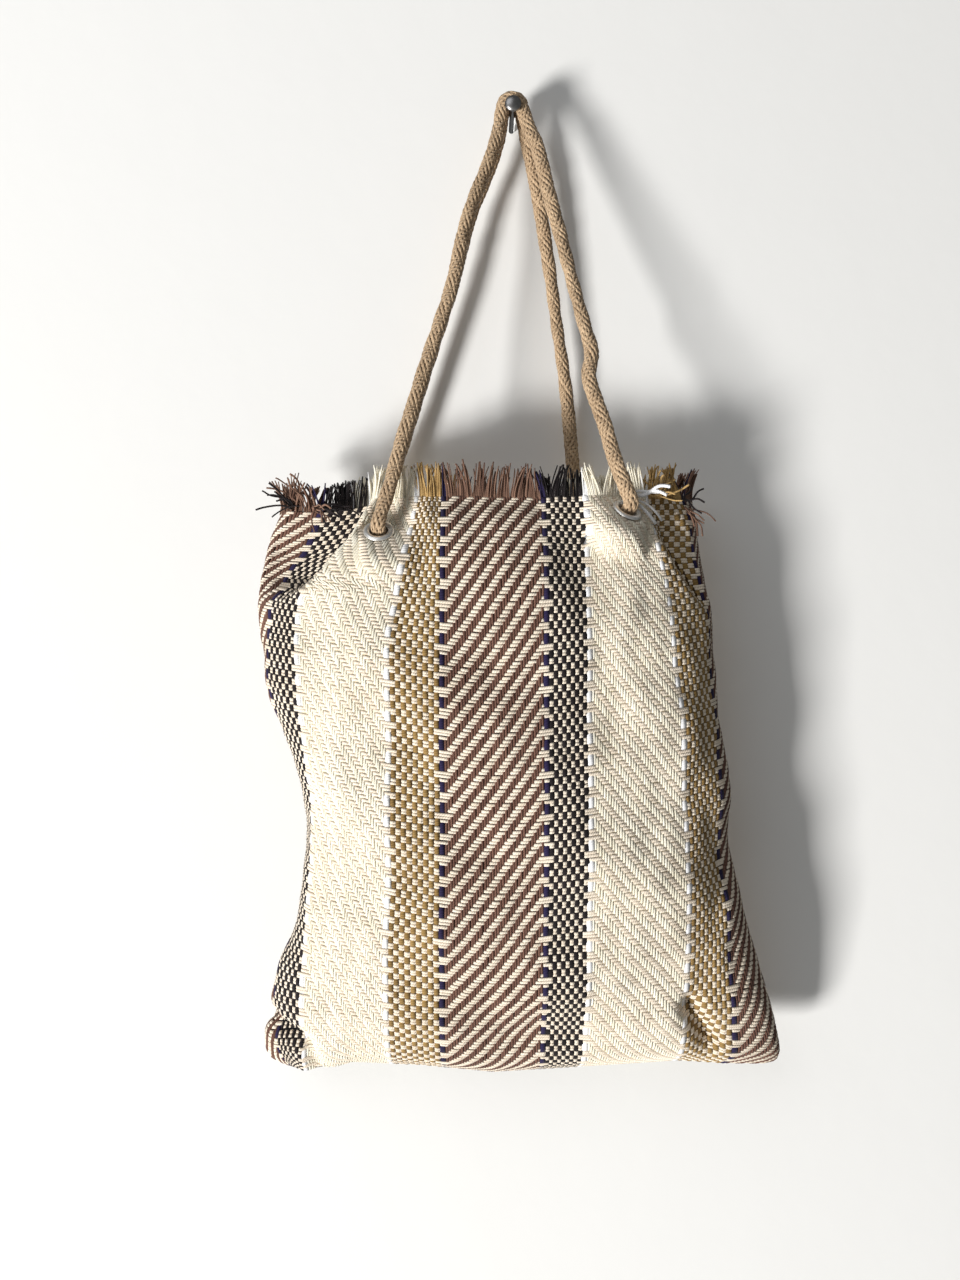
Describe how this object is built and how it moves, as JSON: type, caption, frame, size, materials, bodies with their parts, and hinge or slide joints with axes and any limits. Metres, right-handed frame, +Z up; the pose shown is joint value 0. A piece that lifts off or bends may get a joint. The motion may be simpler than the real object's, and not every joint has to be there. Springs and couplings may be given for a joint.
{
  "type": "woven tote bag",
  "caption": "Soft handwoven striped tote bag with a raw fringed mouth, metal eyelets and braided cord handles that swing to the front and back.",
  "frame": {"origin": "hanging point: the underside of the two handle cords where they pass over what they hang on, between the cords", "axes": "+Z up, -Y towards the front of the bag, +X to the right as seen from the front"},
  "size_m": [0.3443, 0.0923, 0.6467],
  "materials": {
    "woven_cloth": "coarse handwoven stripes in brown twill, cream twill, black and gold check",
    "loose_yarn": "loose cut warp yarns",
    "sewn_seam": "folded cloth edges sewn with cotton thread",
    "nickel": "bright nickel plate",
    "braided_cord": "tan braided cord, slightly waxed"
  },
  "bodies": {
    "bag": {"front_panel": "woven_cloth", "back_panel": "woven_cloth", "front_fringe": "loose_yarn", "back_fringe": "loose_yarn", "left_side_seam": "sewn_seam", "right_side_seam": "sewn_seam", "bottom_seam": "sewn_seam", "front_left_eyelet": "nickel", "front_right_eyelet": "nickel", "back_left_eyelet": "nickel", "back_right_eyelet": "nickel", "front_left_washer": "nickel", "front_right_washer": "nickel", "back_left_washer": "nickel", "back_right_washer": "nickel", "front_left_knot": "braided_cord", "front_right_knot": "braided_cord", "back_left_knot": "braided_cord", "back_right_knot": "braided_cord"},
    "front_handle": {"front_handle_cord": "braided_cord"},
    "back_handle": {"back_handle_cord": "braided_cord"}
  },
  "joints": [
    {"name": "front_handle_swing", "type": "hinge", "parent": "bag", "child": "front_handle", "pos_m": [-0.0842, -0.05934, -0.28733], "axis": [0.9967, 0.0053, 0.0816], "range_deg": [0, 135]},
    {"name": "back_handle_swing", "type": "hinge", "parent": "bag", "child": "back_handle", "pos_m": [-0.088, 0.0112, -0.28066], "axis": [-0.9995, 0, -0.0317], "range_deg": [0, 135]}
  ]
}
